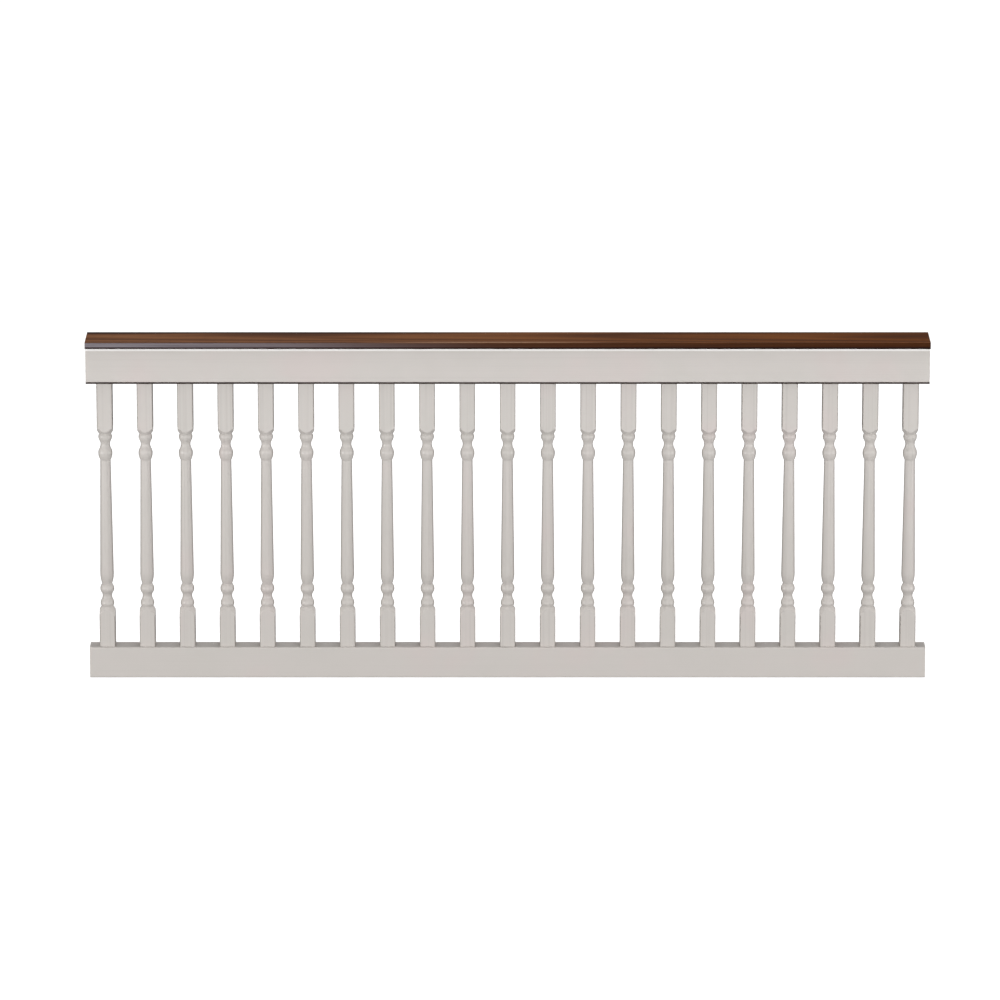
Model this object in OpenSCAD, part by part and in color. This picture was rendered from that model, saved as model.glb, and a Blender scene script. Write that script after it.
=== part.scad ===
// Vinyl railing section: turned balusters between two hollow rails, under a flat wood-grained cap.
// X runs along the rails from their left end, -Y is the front, Z rises from the bottom rail's underside.

/* [Section] */
// Length of the rails, the strip and the cap
section_length = 2387.6; // [900:0.1:3600]
// Height from the underside of the bottom rail to the top of the cap
section_height = 990.6; // [800:0.1:1200]

/* [Cap] */
// Width of the cap board, front to back
cap_width = 139.7; // [100:0.1:200]
// Thickness of the cap board
cap_thickness = 19.05; // [15:0.05:40]
// Radius of the cap's eased long edges
cap_edge_radius = 4; // [0.5:0.1:6]

/* [Top rail] */
// Width of the top rail, front to back
top_rail_width = 88.9; // [75:0.1:120]
// Height of the top rail
top_rail_height = 101.6; // [92:0.1:140]

/* [Bottom rail] */
// Width of the bottom rail, front to back
bottom_rail_width = 63.5; // [54:0.1:80]
// Height of the bottom rail
bottom_rail_height = 88.9; // [75:0.1:98]

/* [Rail walls] */
// Thickness of the rails' outer walls
rail_wall = 2.8; // [1.5:0.1:3]
// Thickness of the webs and ribs inside the rails
rail_web = 2.2; // [1.5:0.1:4]
// Radius of the rails' outer corners
rail_corner_radius = 2.5; // [0.5:0.1:6]
// Depth that the balusters reach into each rail
socket_depth = 38.1; // [20:0.1:46]
// Gap left all round a fitted piece, such as a baluster in its routed hole
fit_gap = 0.4; // [0.2:0.05:0.6]

/* [Baluster strip] */
// Thickness of the dark strip under the top rail
strip_thickness = 5; // [3:0.1:10]
// How far the strip stands back from the rail's front and back faces
strip_setback = 1.5; // [0.5:0.1:8]

/* [Stiffeners] */
// Wall of the metal channel inside each rail
stiffener_wall = 2; // [1:0.1:4]
// How far each channel stops short of the rail's ends
stiffener_setback = 6; // [1:0.5:30]

/* [Balusters] */
// Distance between the centres of neighbouring balusters
baluster_spacing = 114.3; // [80:0.1:160]
// Least distance from the rail's end to the centre of the first baluster
least_end_distance = 40; // [30:1:100]
// Side of the square blocks
baluster_width = 44.45; // [42:0.05:48]
// Wall of the hollow baluster
baluster_wall = 2.2; // [1.2:0.1:4]
// Radius of the blocks' upright edges
baluster_edge_radius = 1.2; // [0.4:0.1:1.8]
// Height of the lower block up to where its corners are turned away
lower_block_height = 94.6; // [40:0.1:180]
// Height of the upper block down to where its corners are turned away
upper_block_height = 132.4; // [40:0.1:200]

/* [Turning] */
// Height of the coned shoulder between a block and its groove
shoulder_height = 22; // [12:0.1:30]
// Diameter of the groove beside each block
groove_diameter = 33.8; // [26:0.1:38]
// Diameter of the beads
bead_diameter = 38.8; // [34.5:0.1:42]
// Height from a groove to the widest line of its bead
bead_height = 8; // [4:0.1:14]
// Diameter of the necks
neck_diameter = 26.8; // [20:0.1:33]
// Height between a bead's widest line and its neck
neck_height = 22; // [12:0.1:34]
// Diameter of the lower ball
ball_diameter = 39.6; // [33.5:0.1:42]
// Height from the lower neck to the ball's widest line
ball_rise = 20.5; // [12:0.1:34]
// Height from the ball's widest line to the notch above it
ball_crown = 15; // [8:0.1:24]
// Diameter at the notch between the ball and the shaft
notch_diameter = 28.2; // [20:0.1:33]
// Diameter of the shaft at its belly
belly_diameter = 38.6; // [33.5:0.1:42]
// Height from the notch to the belly
belly_rise = 29; // [15:0.1:50]
// Diameter at the slim top of the shaft
shaft_top_diameter = 29.6; // [22:0.1:33]
// Diameter of the upper vase
vase_diameter = 40.2; // [34:0.1:43]
// Height from the shaft's top to the vase's widest line
vase_foot = 21; // [10:0.1:34]
// Height from the vase's widest line to the upper neck
vase_crown = 25.5; // [14:0.1:40]

/* [Hidden] */
$fn = 64;
cut_margin = 1;

vinyl = [0.82, 0.8, 0.78];
walnut = [0.39, 0.25, 0.17];
dark_brown = [0.24, 0.2, 0.19];

// Heights of the stack, from the top down and from the bottom up
cap_bottom = section_height - cap_thickness;
top_rail_bottom = cap_bottom - top_rail_height;
strip_bottom = top_rail_bottom - strip_thickness;
top_seat = top_rail_bottom + socket_depth;
bottom_seat = bottom_rail_height - socket_depth;

// The channel fills the bottom rail's lower chamber, and the top rail takes the same one
bottom_chamber_height = bottom_seat - rail_web - rail_wall;
stiffener_width = bottom_rail_width - 2 * (rail_wall + fit_gap);
stiffener_height = bottom_chamber_height - 2 * fit_gap;
rib_offset = stiffener_width / 2 + fit_gap;

// The row of balusters is centred on the rails
baluster_count = 1 + floor((section_length - 2 * least_end_distance) / baluster_spacing);
first_baluster = (section_length - (baluster_count - 1) * baluster_spacing) / 2;
routed_width = baluster_width + 2 * fit_gap;

// Turned length of a baluster and what is left of it for the shaft
corner_diameter = baluster_width * sqrt(2);
turned_bottom = bottom_rail_height + lower_block_height;
turned_top = strip_bottom - upper_block_height;
lower_turning = shoulder_height + bead_height + neck_height + ball_rise + ball_crown + belly_rise;
upper_turning = vase_foot + vase_crown + neck_height + bead_height + shoulder_height;
shaft_height = turned_top - turned_bottom - lower_turning - upper_turning;

// Stations of the turning from the lower block up: rise from the last one, diameter, and curve between.
// A round is one arc, upright at its wide end, and an ogee is two arcs, upright at both ends.
turning = [
    [shoulder_height, groove_diameter, "straight"],
    [bead_height, bead_diameter, "round"],
    [neck_height, neck_diameter, "ogee"],
    [ball_rise, ball_diameter, "ogee"],
    [ball_crown, notch_diameter, "round"],
    [belly_rise, belly_diameter, "round"],
    [shaft_height, shaft_top_diameter, "straight"],
    [vase_foot, vase_diameter, "round"],
    [vase_crown, neck_diameter, "ogee"],
    [neck_height, bead_diameter, "ogee"],
    [bead_height, groove_diameter, "round"],
    [shoulder_height, corner_diameter, "straight"]
];

function two_digits(i) = str(i < 10 ? "0" : "", i);
function baluster_name(i) = str("baluster_", two_digits(i));

function station_height(k) = k < 0 ? turned_bottom : station_height(k - 1) + turning[k][0];
function station_radius(k) = (k < 0 ? corner_diameter : turning[k][1]) / 2;

// Radius of an arc that starts upright and has moved aside by depth when it has risen by height
function arc_radius(depth, height) = (depth * depth + height * height) / (2 * depth);

// Rectangle with four round corners, from its lower left corner
module rounded_rectangle(size, radius) {
    translate([radius, 0]) square([size[0] - 2 * radius, size[1]]);
    translate([0, radius]) square([size[0], size[1] - 2 * radius]);
    for (x = [radius, size[0] - radius], y = [radius, size[1] - radius])
        translate([x, y]) circle(radius);
}

// Runs a section drawn in Y and Z along X, from one height and between two ends
module along_rail(bottom, setback = 0) {
    translate([setback, 0, bottom])
        rotate([90, 0, 90])
            linear_extrude(section_length - 2 * setback)
                children();
}

module at_balusters() {
    for (i = [1 : baluster_count])
        translate([first_baluster + (i - 1) * baluster_spacing, 0, 0]) children();
}

// Square openings through a wall, one for each baluster
module routed_holes(bottom, thickness) {
    at_balusters()
        translate([-routed_width / 2, -routed_width / 2, bottom - cut_margin])
            cube([routed_width, routed_width, thickness + 2 * cut_margin]);
}

module top_cap() {
    color(walnut)
        along_rail(cap_bottom)
            translate([-cap_width / 2, 0])
                rounded_rectangle([cap_width, cap_thickness], cap_edge_radius);
}

// Hollow section with a seat web over the balusters and two ribs beside the channel
module top_rail_section() {
    inner_width = top_rail_width - 2 * rail_wall;
    upper_bottom = socket_depth + rail_web;
    upper_height = top_rail_height - rail_wall - upper_bottom;
    difference() {
        translate([-top_rail_width / 2, 0])
            rounded_rectangle([top_rail_width, top_rail_height], rail_corner_radius);
        translate([-inner_width / 2, rail_wall])
            square([inner_width, socket_depth - rail_wall]);
        translate([-rib_offset, upper_bottom])
            square([2 * rib_offset, upper_height]);
        for (side = [0, 1])
            mirror([side, 0])
                translate([rib_offset + rail_web, upper_bottom])
                    square([inner_width / 2 - rib_offset - rail_web, upper_height]);
    }
}

module top_rail() {
    color(vinyl)
        difference() {
            along_rail(top_rail_bottom) top_rail_section();
            routed_holes(top_rail_bottom, rail_wall);
        }
}

// Hollow section with a seat web under the balusters and a chamber for the channel
module bottom_rail_section() {
    inner_width = bottom_rail_width - 2 * rail_wall;
    difference() {
        translate([-bottom_rail_width / 2, 0])
            rounded_rectangle([bottom_rail_width, bottom_rail_height], rail_corner_radius);
        translate([-inner_width / 2, rail_wall])
            square([inner_width, bottom_chamber_height]);
        translate([-inner_width / 2, bottom_seat])
            square([inner_width, socket_depth - rail_wall]);
    }
}

module bottom_rail() {
    color(vinyl)
        difference() {
            along_rail(0) bottom_rail_section();
            routed_holes(bottom_rail_height - rail_wall, rail_wall);
        }
}

// Open channel that stands on a rail's floor or web
module stiffener_section() {
    inner_width = stiffener_width - 2 * stiffener_wall;
    difference() {
        translate([-stiffener_width / 2, 0])
            square([stiffener_width, stiffener_height]);
        translate([-inner_width / 2, stiffener_wall])
            square([inner_width, stiffener_height]);
    }
}

module top_stiffener() {
    color("silver")
        along_rail(top_seat + rail_web, stiffener_setback) stiffener_section();
}

module bottom_stiffener() {
    color("silver")
        along_rail(rail_wall, stiffener_setback) stiffener_section();
}

module baluster_strip() {
    width = top_rail_width - 2 * strip_setback;
    color(dark_brown)
        difference() {
            along_rail(strip_bottom)
                translate([-width / 2, 0])
                    square([width, strip_thickness]);
            routed_holes(strip_bottom, strip_thickness);
        }
}

// Outline from the axis out to an arc that bulges, between its widest point and another height
module bulge(wide, end_height, arc) {
    intersection() {
        translate([0, min(wide[1], end_height)])
            square([wide[0], abs(end_height - wide[1])]);
        translate([wide[0] - arc, wide[1]]) circle(arc);
    }
}

// Outline from the axis out to an arc that is hollowed, between its narrowest point and its other end
module cove(narrow, end, arc) {
    difference() {
        translate([0, min(narrow[1], end[1])])
            square([end[0], abs(end[1] - narrow[1])]);
        translate([narrow[0] + arc, narrow[1]]) circle(arc);
    }
}

// Outline between two stations, each given as radius and height
module stretch(lower, upper, curve) {
    wide = lower[0] > upper[0] ? lower : upper;
    narrow = lower[0] > upper[0] ? upper : lower;
    depth = wide[0] - narrow[0];
    height = upper[1] - lower[1];
    if (curve == "straight")
        polygon([[0, lower[1]], lower, upper, [0, upper[1]]]);
    if (curve == "round")
        bulge(wide, narrow[1], arc_radius(depth, height));
    if (curve == "ogee") {
        middle = (lower + upper) / 2;
        arc = arc_radius(depth / 2, height / 2);
        bulge(wide, middle[1], arc);
        cove(narrow, middle, arc);
    }
}

// Outline of the whole bar, wide enough at the blocks to leave their corners whole
module turned_outline(inset, bottom, top) {
    block_radius = station_radius(-1) - inset;
    translate([0, bottom]) square([block_radius, turned_bottom - bottom]);
    translate([0, turned_top]) square([block_radius, top - turned_top]);
    for (k = [0 : len(turning) - 1])
        stretch(
            [station_radius(k - 1) - inset, station_height(k - 1)],
            [station_radius(k) - inset, station_height(k)],
            turning[k][2]
        );
}

// Square bar with its corners turned away, each surface drawn in by inset and each end out by extra
module baluster_form(inset, extra) {
    bottom = bottom_seat - extra;
    top = top_seat + extra;
    side = baluster_width - 2 * inset;
    intersection() {
        translate([-side / 2, -side / 2, bottom])
            linear_extrude(top - bottom)
                if (inset > 0)
                    square(side);
                else
                    rounded_rectangle([side, side], baluster_edge_radius);
        rotate_extrude() turned_outline(inset, bottom, top);
    }
}

module baluster(i) {
    color(vinyl)
        translate([first_baluster + (i - 1) * baluster_spacing, 0, 0])
            difference() {
                baluster_form(0, 0);
                baluster_form(baluster_wall, cut_margin);
            }
}

top_cap();
top_rail();
top_stiffener();
baluster_strip();
bottom_rail();
bottom_stiffener();
for (i = [1 : baluster_count]) {
    baluster(i);
}
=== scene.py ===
import math

import bpy
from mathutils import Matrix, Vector


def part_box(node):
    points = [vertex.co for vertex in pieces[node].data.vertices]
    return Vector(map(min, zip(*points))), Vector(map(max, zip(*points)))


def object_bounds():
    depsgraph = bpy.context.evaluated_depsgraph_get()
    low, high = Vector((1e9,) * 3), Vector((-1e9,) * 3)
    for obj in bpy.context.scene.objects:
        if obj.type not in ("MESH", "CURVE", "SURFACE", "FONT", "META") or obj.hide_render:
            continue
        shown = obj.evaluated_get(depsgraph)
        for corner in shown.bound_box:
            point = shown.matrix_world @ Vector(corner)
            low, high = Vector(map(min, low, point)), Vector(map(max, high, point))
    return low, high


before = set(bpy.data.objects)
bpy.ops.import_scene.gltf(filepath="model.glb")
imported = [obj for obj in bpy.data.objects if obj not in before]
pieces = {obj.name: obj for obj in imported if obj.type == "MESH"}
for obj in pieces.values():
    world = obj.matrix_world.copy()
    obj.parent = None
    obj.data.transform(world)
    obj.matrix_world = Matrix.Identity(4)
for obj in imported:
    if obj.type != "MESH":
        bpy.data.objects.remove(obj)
cadLow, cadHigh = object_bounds()  # the CAD box
middle = (cadLow + cadHigh) / 2
railLength = cadHigh.x - cadLow.x
capLow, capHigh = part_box("top_cap")
balusters = sorted(name for name in pieces if name.startswith("baluster_") and name[-1].isdigit())
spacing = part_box(balusters[1])[0].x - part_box(balusters[0])[0].x
noiseShift = (1.0, 0.7, 1.3)  # shares of its shift that a noise moves along X, Y and Z
print("railing loaded:", len(pieces), "pieces,", round(railLength, 3), "m long")


def opaque(colour):
    # colours in the dictionaries have no alpha, and those that come from a node pass through
    return (*colour, 1.0) if isinstance(colour, tuple) else colour


class Finish:
    # one material in the making, with short names for the nodes that all finishes share
    def __init__(self, name):
        self.material = bpy.data.materials.new(name)
        self.material.use_nodes = True
        self.tree = self.material.node_tree
        self.shader = self.tree.nodes["Principled BSDF"]
        self.place = self.add("TexCoord").outputs["Object"]  # metres, in the railing's own frame
        self.facing = self.add("NewGeometry").outputs["Normal"]

    def add(self, kind, sockets=None, **settings):
        node = self.tree.nodes.new("ShaderNode" + kind)
        for name, value in settings.items():
            setattr(node, name, value)
        for name, value in (sockets or {}).items():
            self.fill(node.inputs[name], value)
        return node

    def fill(self, socket, value):
        if isinstance(value, bpy.types.NodeSocket):
            self.tree.links.new(value, socket)
        else:
            socket.default_value = value

    def maths(self, how, first, second=0.0, third=0.0):
        return self.add("Math", {0: first, 1: second, 2: third}, operation=how).outputs[0]

    def times(self, first, second):
        return self.maths("MULTIPLY", first, second)

    def distance(self, value, centre):
        return self.maths("ABSOLUTE", self.maths("SUBTRACT", value, centre))

    def remap(self, value, span, newLow=0.0, newHigh=1.0):
        # eases value from newLow to newHigh over the span, which may also run downward
        sockets = {"Value": value, "From Min": span[0], "From Max": span[1]}
        sockets.update({"To Min": newLow, "To Max": newHigh})
        return self.add("MapRange", sockets, interpolation_type="SMOOTHSTEP").outputs[0]

    def axes(self, vector):
        return self.add("SeparateXYZ", {0: vector}).outputs

    def noise(self, perMetre, detail, shift=0.0):
        # perMetre is how many lumps the noise has in a metre along X, Y and Z
        offset = [shift * share for share in noiseShift]
        sockets = {"Vector": self.place, "Scale": perMetre, "Location": offset}
        moved = self.add("Mapping", sockets).outputs[0]
        return self.add("TexNoise", {"Vector": moved, "Scale": 1.0, "Detail": detail}).outputs[0]

    def mix(self, share, first, second, how="MIX"):
        sockets = {0: share, 6: opaque(first), 7: opaque(second)}
        return self.add("Mix", sockets, data_type="RGBA", blend_type=how).outputs[2]

    def ramp(self, value, stops):
        node = self.add("ValToRGB", {0: value})
        marks = node.color_ramp.elements
        while len(marks) < len(stops):
            marks.new(0.5)  # each gets its place below
        for mark, (place, colour) in zip(marks, stops):
            mark.position = place
            mark.color = opaque(colour)
        return node.outputs[0]

    def bump(self, height, depth, below=None):
        sockets = {"Height": height, "Distance": depth}
        if below:
            sockets["Normal"] = below
        return self.add("Bump", sockets).outputs[0]

    def crevice(self, reach, span):
        # 1 deep in a corner between pieces, 0 in the open
        shade = self.add("AmbientOcclusion", {"Distance": reach}, samples=6).outputs["AO"]
        return self.remap(shade, span, 1.0, 0.0)

    def wire(self, **outputs):
        # underscores in a socket's name stand for spaces
        for name, value in outputs.items():
            self.fill(self.shader.inputs[name.replace("_", " ")], value)

    def dress(self, *names):
        for name in names:
            slots = pieces[name].data.materials
            slots.clear()
            slots.append(self.material)


# pairs named after a noise, a facing or a shade are the two values that an effect eases between
railVinyl = {
    "colour": (0.578, 0.543, 0.512),
    "coolColour": (0.557, 0.530, 0.495),  # the tone drifts between these in clouds
    "warmColour": (0.590, 0.534, 0.508),
    "cloudsPerMetre": 5.0,
    "coolClouds": (0.45, 0.68),
    "coolShare": 0.65,
    "warmClouds": (0.48, 0.30),
    "ownTone": 0.0,  # how far one piece's tone may be from the next one's
    "linesPerMetre": 420.0,  # lines that the die leaves, across the piece
    "lineLumps": 1.3,  # and along it
    "lineDepth": 0.000035,
    "streakLines": (0.48, 0.72),
    "streak": 0.10,  # how much the lines show as streaks
    "skinPerMetre": 1500.0,
    "skinDepth": 0.000012,
    "scuffsPerMetre": (38.0, 60.0, 60.0),
    "dustColour": (0.400, 0.372, 0.345),
    "dust": (0.075, 0.15),  # least and most, on what faces up
    "dustScuffs": (0.30, 0.70),
    "upFacing": (0.55, 0.95),
    "lowDirt": 0.26,  # a film low down
    "dirtHeight": (0.25, 0.75),  # which fades out over this height
    "shadeAndGrimeColour": (0.230, 0.205, 0.180),
    "shadeAndGrime": 0.5,  # in the low corners, grime with painted shade
    "shadeAndGrimeLeast": 0.35,  # share of it where the vinyl isn't scuffed
    "shadeAndGrimeScuffs": (0.35, 0.60),
    "creviceReach": 0.012,
    "creviceShade": (0.25, 0.75),
    "paintedHighlightColour": (0.840, 0.825, 0.800),  # a painted highlight along the rail close under the cap
    "paintedHighlightDepth": 0.0105,
    "paintedHighlightFade": 0.0015,
    "paintedSideShade": 0.0,  # painted shade on the sides that face the next upright
    "gloss": (0.36, 0.48),
    "glossScuffs": (0.35, 0.65),
    "dustGloss": 0.25,
    "sheen": 0.4,
}
balusterVinyl = dict(
    railVinyl,
    ownTone=0.35,
    linesPerMetre=170.0,
    lineDepth=0.00002,
    streak=0.22,
    skinDepth=0.00002,
    paintedSideShade=0.72,
    sideFacing=(0.78, 0.99),
    arrisBand=(0.0036, 0.00072),  # how far in from the blocks' corners it begins, and is full
    arrisFade=0.004,
    turnedFrom=(0.180, 0.733),  # heights between which the bar is turned round
)


def paintedSideShade(vinyl, look):
    # painted shade on the sides, and in a band round the upright corners of the square blocks
    low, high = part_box(balusters[0])
    half = (high.x - low.x) / 2
    along, _, up = vinyl.axes(vinyl.place)
    aside = vinyl.maths("PINGPONG", vinyl.maths("SUBTRACT", along, low.x + half), spacing / 2)
    corners = vinyl.remap(aside, [half - inset for inset in look["arrisBand"]])
    turnedLow, turnedHigh = look["turnedFrom"]
    reach = (turnedHigh - turnedLow) / 2
    blocks = (reach - look["arrisFade"], reach + look["arrisFade"])
    corners = vinyl.times(corners, vinyl.remap(vinyl.distance(up, turnedLow + reach), blocks))
    sides = vinyl.remap(vinyl.maths("ABSOLUTE", vinyl.axes(vinyl.facing)[0]), look["sideFacing"])
    return vinyl.times(vinyl.maths("MAXIMUM", sides, corners), look["paintedSideShade"])


def makeVinyl(name, look, grainAxis):
    # drawn or moulded vinyl with a satin skin; grainAxis is 0 for rails and 2 for balusters
    vinyl = Finish(name)
    lineScale = [look["linesPerMetre"]] * 3
    lineScale[grainAxis] = look["lineLumps"]
    clouds = vinyl.noise([look["cloudsPerMetre"]] * 3, detail=4.0)
    lines = vinyl.noise(lineScale, detail=3.0, shift=3.1)
    skin = vinyl.noise([look["skinPerMetre"]] * 3, detail=1.0)
    scuffs = vinyl.noise(look["scuffsPerMetre"], detail=6.0, shift=7.7)
    along, _, up = vinyl.axes(vinyl.place)

    # each upright has a slight tone of its own, by its place along the rail
    number = vinyl.maths("FLOOR", vinyl.times(along, 1 / spacing))
    tone = vinyl.add("TexWhiteNoise", {"W": number}, noise_dimensions="1D").outputs["Value"]
    cool = vinyl.remap(clouds, look["coolClouds"], 0.0, look["coolShare"])
    cool = vinyl.maths("MULTIPLY_ADD", tone, look["ownTone"], cool)
    colour = vinyl.mix(cool, look["colour"], look["coolColour"])
    colour = vinyl.mix(vinyl.remap(clouds, look["warmClouds"]), colour, look["warmColour"])
    streaks = vinyl.remap(lines, look["streakLines"], 0.0, look["streak"])
    colour = vinyl.mix(streaks, colour, look["dustColour"])

    # dust lies on what faces up, a film of dirt low down, and grime with painted shade in the low
    # corners
    dust = vinyl.remap(scuffs, look["dustScuffs"], *look["dust"])
    dust = vinyl.times(dust, vinyl.remap(vinyl.axes(vinyl.facing)[2], look["upFacing"]))
    lowDown = vinyl.remap(up, look["dirtHeight"], 1.0, 0.0)
    film = vinyl.times(lowDown, look["lowDirt"])
    colour = vinyl.mix(vinyl.maths("MAXIMUM", dust, film), colour, look["dustColour"])
    # painted shade: darker where occlusion finds a corner
    shadeAndGrime = vinyl.crevice(look["creviceReach"], look["creviceShade"])
    shadeAndGrime = vinyl.times(shadeAndGrime, vinyl.remap(scuffs, look["shadeAndGrimeScuffs"], look["shadeAndGrimeLeast"]))
    shadeAndGrime = vinyl.times(vinyl.times(shadeAndGrime, lowDown), look["shadeAndGrime"])
    colour = vinyl.mix(shadeAndGrime, colour, look["shadeAndGrimeColour"])

    # painted highlight: a pale band on the vinyl close under the cap
    highlightFoot = capLow.z - look["paintedHighlightDepth"]
    paintedHighlight = vinyl.remap(up, (highlightFoot - look["paintedHighlightFade"], highlightFoot + look["paintedHighlightFade"]))
    colour = vinyl.mix(paintedHighlight, colour, look["paintedHighlightColour"])
    # painted shade on the balusters' sides and block corners
    if look["paintedSideShade"]:
        colour = vinyl.mix(paintedSideShade(vinyl, look), colour, look["shadeAndGrimeColour"])

    gloss = vinyl.remap(scuffs, look["glossScuffs"], *look["gloss"])
    gloss = vinyl.maths("MULTIPLY_ADD", dust, look["dustGloss"], gloss)
    relief = vinyl.bump(lines, look["lineDepth"], vinyl.bump(skin, look["skinDepth"]))
    vinyl.wire(Base_Color=colour, Roughness=gloss, Normal=relief, Specular_IOR_Level=look["sheen"])
    return vinyl


makeVinyl("satinRailVinyl", railVinyl, grainAxis=0).dress("top_rail", "bottom_rail")
makeVinyl("mouldedBalusterVinyl", balusterVinyl, grainAxis=2).dress(*balusters)
print("vinyl on 2 rails and", len(balusters), "balusters")


capWalnut = {
    "darkWood": (0.050, 0.018, 0.008),
    "midWood": (0.138, 0.054, 0.021),
    "lightWood": (0.235, 0.102, 0.043),
    "woodStops": (0.30, 0.54, 0.80),  # how dark, mid and light wood share the figure
    "ringWidth": 0.0052,
    "heartDepth": 0.16,  # how far under the board the tree's heart lay
    "heartTilt": 0.012,  # and how much it rose along the board
    "heartSway": (0.06, -0.045),  # how far it swayed aside, and from where
    "swayPerMetre": (0.9, 7.0, 7.0),
    "ringWobble": 1.6,
    "wobblePerMetre": (2.2, 30.0, 30.0),
    "ringShare": 0.30,  # what rings, fibres and broad bands add to the figure
    "fibreShare": 0.38,
    "bandShare": 0.42,
    "fibresPerMetre": (2.5, 330.0, 330.0),
    "fibreDepth": 0.00006,
    "bandsPerMetre": (0.5, 26.0, 26.0),
    "poreColour": (0.030, 0.012, 0.007),
    "pores": 0.65,
    "poresPerMetre": (38.0, 1300.0, 1300.0),
    "poreNoise": (0.60, 0.70),
    "poreDepth": 0.5,  # beside the fibres' own
    "edgeShade": 0.86,  # the long edges are darker, by how far they face aside
    "edgeFacing": (0.10, 0.50),
    "rightStain": (0.78, 0.57, 0.19),  # and the stain deepens toward the right end
    "lineColour": (0.014, 0.004, 0.002),  # of two dark lines of painted shade
    "backMargin": (0.022, 0.0176),  # one along the back, begun and full so far in from the edge
    "backFacing": (0.05, 0.25),
    "backShade": (1.0, 0.45),  # at the left end and at the right
    "backPalest": 0.53,  # where along the length it fades out
    "backFade": (0.05, 0.16),  # and how near to there, in parts of the length
    "lowerLine": (0.0078, 0.00507),  # the other up to these heights on the edges
    "lowerShade": (0.72, 1.0),
    # painted reflection: grey-blue on the left of the front edge
    "paintedReflectionColour": (0.138, 0.120, 0.132),
    "paintedReflectionLight": (0.216, 0.193, 0.210),
    "paintedReflectionFibres": (0.30, 0.68),
    "greyed": 1.0,
    "paintedReflectionFacing": (-0.5, -0.95),
    "paintedReflectionEnd": (0.10, 0.61),  # the painted reflection on the front edge reaches up to here, in parts of the length
    "paintedReflectionSpread": 0.4,  # how far the bands make that end uneven
    "wearAndHighlightColour": (0.270, 0.150, 0.088),  # of the margin along the front of the top, rubbed lighter, with a painted highlight
    "wearAndHighlightMargin": (0.018, 0.009),  # begun and full so far in from the edge
    "wearAndHighlightFacing": (0.80, 0.97),
    "wearAndHighlightAt": 0.48,  # where along the length it is lightest
    "wearAndHighlightReach": (0.20, 0.55),
    "wearAndHighlightSpread": 0.3,
    "wearAndHighlightLeast": 0.08,
    "gloss": (0.40, 0.54),
    "glossFibres": (0.3, 0.7),
    "sheen": 0.06,
}


def walnutFigure(wood, look, fibres, bands):
    # growth rings round a heart that lies under the board, a little out of line with it
    along, across, up = wood.axes(wood.place)
    heart = wood.maths("MULTIPLY_ADD", along, look["heartTilt"], capLow.z - look["heartDepth"])
    rise = wood.maths("SUBTRACT", up, heart)
    sway = wood.noise(look["swayPerMetre"], detail=3.0)
    aside = wood.maths("ADD", across, wood.maths("MULTIPLY_ADD", sway, *look["heartSway"]))
    squares = [wood.maths("POWER", side, 2.0) for side in (rise, aside)]
    reach = wood.maths("SQRT", wood.maths("ADD", *squares))
    wobble = wood.noise(look["wobblePerMetre"], detail=3.0, shift=1.7)
    rings = wood.times(reach, 1 / look["ringWidth"])
    rings = wood.maths("MULTIPLY_ADD", wobble, look["ringWobble"], rings)
    figure = wood.times(fibres, look["fibreShare"])
    figure = wood.maths("MULTIPLY_ADD", wood.maths("PINGPONG", rings, 1.0), look["ringShare"], figure)
    return wood.maths("MULTIPLY_ADD", bands, look["bandShare"], figure)


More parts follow.
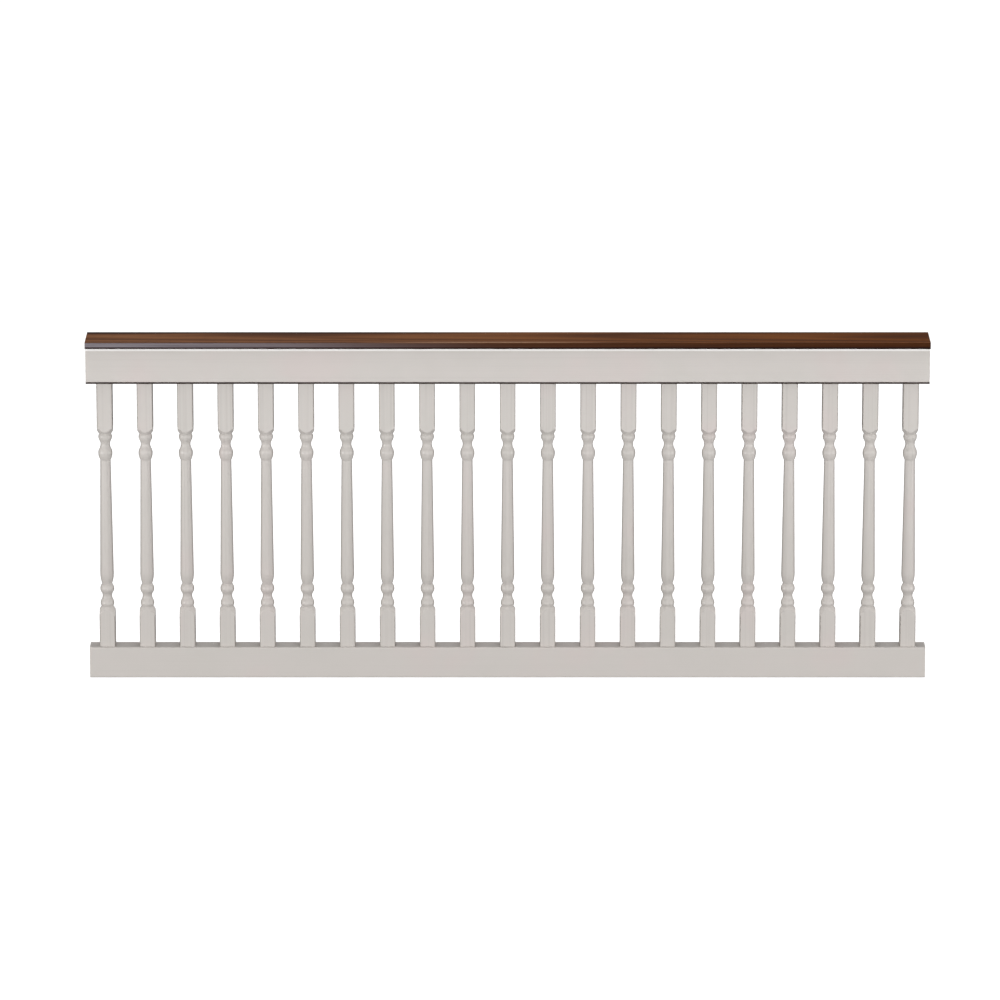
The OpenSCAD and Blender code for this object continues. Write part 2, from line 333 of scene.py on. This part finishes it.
def makeWalnut(look):
    wood = Finish("walnutBoard")
    ends = (capLow.x, capHigh.x)
    length = capHigh.x - capLow.x
    along, across, up = wood.axes(wood.place)
    _, faceAcross, faceUp = wood.axes(wood.facing)
    fibres = wood.noise(look["fibresPerMetre"], detail=5.0, shift=4.2)
    bands = wood.noise(look["bandsPerMetre"], detail=3.0, shift=9.4)
    pores = wood.noise(look["poresPerMetre"], detail=1.0, shift=2.6)
    pores = wood.remap(pores, look["poreNoise"])
    woods = (look["darkWood"], look["midWood"], look["lightWood"])
    colour = wood.ramp(walnutFigure(wood, look, fibres, bands), list(zip(look["woodStops"], woods)))
    colour = wood.mix(wood.times(pores, look["pores"]), colour, look["poreColour"])

    # painted shade: the dark line at the back is strongest at the left and fades out near the middle
    margin = wood.remap(across, [capHigh.y - inset for inset in look["backMargin"]])
    fromPalest = wood.distance(along, capLow.x + look["backPalest"] * length)
    shade = wood.times(margin, wood.remap(fromPalest, [part * length for part in look["backFade"]]))
    shade = wood.times(shade, wood.remap(faceUp, look["backFacing"]))
    shade = wood.times(shade, wood.remap(along, ends, *look["backShade"]))
    colour = wood.mix(shade, colour, look["lineColour"])

    # long edges are darker, have a painted grey reflection at the left of the front, and a dark line
    # of painted shade at the bottom
    edges = wood.remap(wood.maths("ABSOLUTE", faceAcross), look["edgeFacing"], 0.0, look["edgeShade"])
    colour = wood.mix(edges, colour, look["darkWood"])
    deeper = wood.mix(1.0, colour, look["rightStain"], "MULTIPLY")
    colour = wood.mix(wood.remap(along, ends), colour, deeper)
    # painted reflection: grey-blue at the left of the front edge, uneven by the bands
    paintedReflectionSpan = [capLow.x + part * length for part in look["paintedReflectionEnd"]]
    uneven = wood.maths("MULTIPLY_ADD", bands, look["paintedReflectionSpread"], along)
    greyed = wood.remap(uneven, paintedReflectionSpan, look["greyed"], 0.0)
    greyed = wood.times(greyed, wood.remap(faceAcross, look["paintedReflectionFacing"]))
    greyedGrain = wood.remap(fibres, look["paintedReflectionFibres"])
    greyedGrain = wood.mix(greyedGrain, look["paintedReflectionColour"], look["paintedReflectionLight"])
    colour = wood.mix(greyed, colour, greyedGrain)
    # painted shade: a dark line along the bottom of the edges
    shade = wood.remap(up, [capLow.z + height for height in look["lowerLine"]])
    shade = wood.times(shade, wood.remap(along, ends, *look["lowerShade"]))
    colour = wood.mix(shade, colour, look["lineColour"])

    # the top's front margin is rubbed lighter near the middle, with a painted highlight
    margin = wood.remap(across, [capLow.y + inset for inset in look["wearAndHighlightMargin"]])
    margin = wood.times(margin, wood.remap(faceUp, look["wearAndHighlightFacing"]))
    fromWearAndHighlight = wood.distance(along, capLow.x + look["wearAndHighlightAt"] * length)
    fromWearAndHighlight = wood.maths("MULTIPLY_ADD", bands, look["wearAndHighlightSpread"], fromWearAndHighlight)
    wearAndHighlight = wood.remap(fromWearAndHighlight, look["wearAndHighlightReach"], 1.0, look["wearAndHighlightLeast"])
    colour = wood.mix(wood.times(margin, wearAndHighlight), colour, look["wearAndHighlightColour"])

    gloss = wood.remap(fibres, look["glossFibres"], *look["gloss"])
    grain = wood.maths("SUBTRACT", fibres, wood.times(pores, look["poreDepth"]))
    wood.wire(Base_Color=colour, Roughness=gloss, Normal=wood.bump(grain, look["fibreDepth"]))
    wood.wire(Specular_IOR_Level=look["sheen"])
    return wood


makeWalnut(capWalnut).dress("top_cap")
print("walnut on the cap")


# the near-black strip is partly painted shade: it stands for the line of shade under the top rail
stripRubber = {
    "colour": (0.034, 0.024, 0.021),
    "greyed": (0.062, 0.047, 0.042),
    "patchesPerMetre": (18.0, 60.0, 60.0),
    "greyedPatches": (0.35, 0.70),
    "grainPerMetre": 900.0,
    "greyedGrain": (0.5, 0.8),
    "grainShare": 0.4,
    "grainDepth": 0.00004,
    "gloss": (0.55, 0.75),
    "glossPatches": (0.3, 0.7),
    "sheen": 0.15,
}


def makeStrip(look):
    strip = Finish("darkStrip")
    patches = strip.noise(look["patchesPerMetre"], detail=5.0)
    grain = strip.noise([look["grainPerMetre"]] * 3, detail=2.0)
    colour = strip.mix(strip.remap(patches, look["greyedPatches"]), look["colour"], look["greyed"])
    specks = strip.remap(grain, look["greyedGrain"], 0.0, look["grainShare"])
    colour = strip.mix(specks, colour, look["greyed"])
    gloss = strip.remap(patches, look["glossPatches"], *look["gloss"])
    strip.wire(Base_Color=colour, Roughness=gloss, Normal=strip.bump(grain, look["grainDepth"]))
    strip.wire(Specular_IOR_Level=look["sheen"])
    return strip


makeStrip(stripRubber).dress("baluster_strip")


channelMetal = {
    "colour": (0.62, 0.62, 0.61),
    "dulled": (0.42, 0.42, 0.41),
    "blotchesPerMetre": (9.0, 40.0, 40.0),
    "dulledBlotches": (0.35, 0.70),
    "linesPerMetre": (1.0, 1400.0, 1400.0),
    "lineDepth": 0.00002,
    "gloss": (0.36, 0.55),
    "glossLines": (0.3, 0.7),
    "metallic": 0.7,  # the rest is a dull skin
}


def makeChannel(look):
    metal = Finish("drawnChannel")
    lines = metal.noise(look["linesPerMetre"], detail=3.0)
    blotches = metal.noise(look["blotchesPerMetre"], detail=4.0)
    colour = metal.mix(metal.remap(blotches, look["dulledBlotches"]), look["colour"], look["dulled"])
    gloss = metal.remap(lines, look["glossLines"], *look["gloss"])
    metal.wire(Base_Color=colour, Roughness=gloss, Normal=metal.bump(lines, look["lineDepth"]))
    metal.wire(Metallic=look["metallic"])
    return metal


makeChannel(channelMetal).dress("top_stiffener", "bottom_stiffener")
print("strip and channels finished")


studioFloor = {
    "halfSize": 60.0,
    "drop": 0.0004,  # just under the bottom rail
    "colour": (0.34, 0.34, 0.34),
    "cloudColour": (0.3264, 0.3264, 0.3264),
    "cloudsPerMetre": 1.5,
    "cloudNoise": (0.3, 0.7),
    "glowColour": (1.0, 1.0, 1.0),
    "glow": 0.92,  # so that it reads as white paper
    "roughness": 0.9,
    "sheen": 0.0,
}


def layFloor(look):
    size = look["halfSize"]
    height = cadLow.z - look["drop"]
    corners = [(-size, -size), (size, -size), (size, size), (-size, size)]
    sheet = bpy.data.meshes.new("studioFloor")
    sheet.from_pydata([(middle.x + x, y, height) for x, y in corners], [], [(0, 1, 2, 3)])
    floor = bpy.data.objects.new("studioFloor", sheet)
    bpy.context.scene.collection.objects.link(floor)
    paper = Finish("paleFloor")
    clouds = paper.noise([look["cloudsPerMetre"]] * 3, detail=3.0)
    colour = paper.mix(paper.remap(clouds, look["cloudNoise"]), look["colour"], look["cloudColour"])
    paper.wire(Base_Color=colour, Roughness=look["roughness"], Specular_IOR_Level=look["sheen"])
    paper.wire(Emission_Color=opaque(look["glowColour"]), Emission_Strength=look["glow"])
    sheet.materials.append(paper.material)
    floor.visible_diffuse = False  # no bounce, so the balusters' sides stay darker than their fronts
    floor.visible_glossy = False  # nor mirrored, so that outlines stay dark


layFloor(studioFloor)


studioLights = {
    "roomLow": (0.10, 0.10, 0.105),  # round the horizon, where the walls are dark
    "roomHigh": (0.54, 0.54, 0.55),
    "roomRise": (0.15, 0.85),  # between these heights the one goes over into the other
    "boxes": {
        # place from the railing's middle, size, power, and whether it mirrors in the surfaces
        "frontBox": ((0.0, -9.0, 0.0), (6.0, 0.9), 330.0, True),
        "leftBox": ((-8.5, -4.5, 0.0), (3.0, 0.9), 470.0, True),
        "rightBox": ((8.5, -4.5, 0.0), (3.0, 0.9), 470.0, True),
        "overheadBox": ((0.0, 0.3, 6.0), (6.0, 4.0), 225.0, True),
        "backBox": ((0.0, 9.0, 0.0), (6.0, 0.9), 560.0, False),
    },
}


def paintRoom(look):
    world = bpy.data.worlds.new("studioRoom")
    bpy.context.scene.world = world
    world.use_nodes = True
    nodes, links = world.node_tree.nodes, world.node_tree.links
    height = nodes.new("ShaderNodeSeparateXYZ")
    links.new(nodes.new("ShaderNodeTexCoord").outputs["Generated"], height.inputs[0])
    walls = nodes.new("ShaderNodeValToRGB")
    links.new(height.outputs[2], walls.inputs[0])
    colours = (look["roomLow"], look["roomHigh"])
    for mark, rise, colour in zip(walls.color_ramp.elements, look["roomRise"], colours):
        mark.position = rise
        mark.color = opaque(colour)
    links.new(walls.outputs[0], nodes["Background"].inputs["Color"])


def hangLights(look):
    for name, (place, size, power, mirrored) in look["boxes"].items():
        light = bpy.data.lights.new(name, "AREA")
        light.shape = "RECTANGLE"
        light.size, light.size_y = size
        light.energy = power
        box = bpy.data.objects.new(name, light)
        box.location = middle + Vector(place)
        box.rotation_euler = (-Vector(place)).to_track_quat("-Z", "Y").to_euler()
        box.visible_camera = False
        box.visible_glossy = mirrored
        bpy.context.scene.collection.objects.link(box)


paintRoom(studioLights)
hangLights(studioLights)
print("floor laid and", len(studioLights["boxes"]), "soft boxes hung")


photoView = {
    "distance": 20.0,
    "elevation": 14.2,  # degrees above the level
    "imagePixels": 1000.0,
    "railPixels": 840.0,  # length of the rail in the photograph
    "middlePixel": (507.6, 503.7),  # where the middle of the railing falls
    "middleHeight": 0.5048,
    "sensor": 36.0,
    "clipEnd": 200.0,
}


def placeCamera(look):
    tilt = math.radians(look["elevation"])
    back = Vector((0.0, -math.cos(tilt), math.sin(tilt)))
    up = Vector((0.0, math.sin(tilt), math.cos(tilt)))
    frontFace = -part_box("bottom_rail")[0].y
    pixel = railLength / look["railPixels"]
    halfImage = look["imagePixels"] / 2
    aim = Vector((middle.x, 0.0, look["middleHeight"]))
    aim.x -= (look["middlePixel"][0] - halfImage) * pixel
    aim += up * (look["middlePixel"][1] - halfImage) * pixel
    lens = bpy.data.cameras.new("photoCamera")
    lens.sensor_width = look["sensor"]
    lens.lens = look["sensor"] * (look["distance"] - frontFace) / (look["imagePixels"] * pixel)
    lens.clip_end = look["clipEnd"]
    camera = bpy.data.objects.new("photoCamera", lens)
    camera.location = aim + back * look["distance"]
    camera.rotation_euler = (-back).to_track_quat("-Z", "Y").to_euler()
    bpy.context.scene.collection.objects.link(camera)
    bpy.context.scene.camera = camera
    bpy.context.scene.view_settings.view_transform = "Standard"


placeCamera(photoView)
print("camera set")
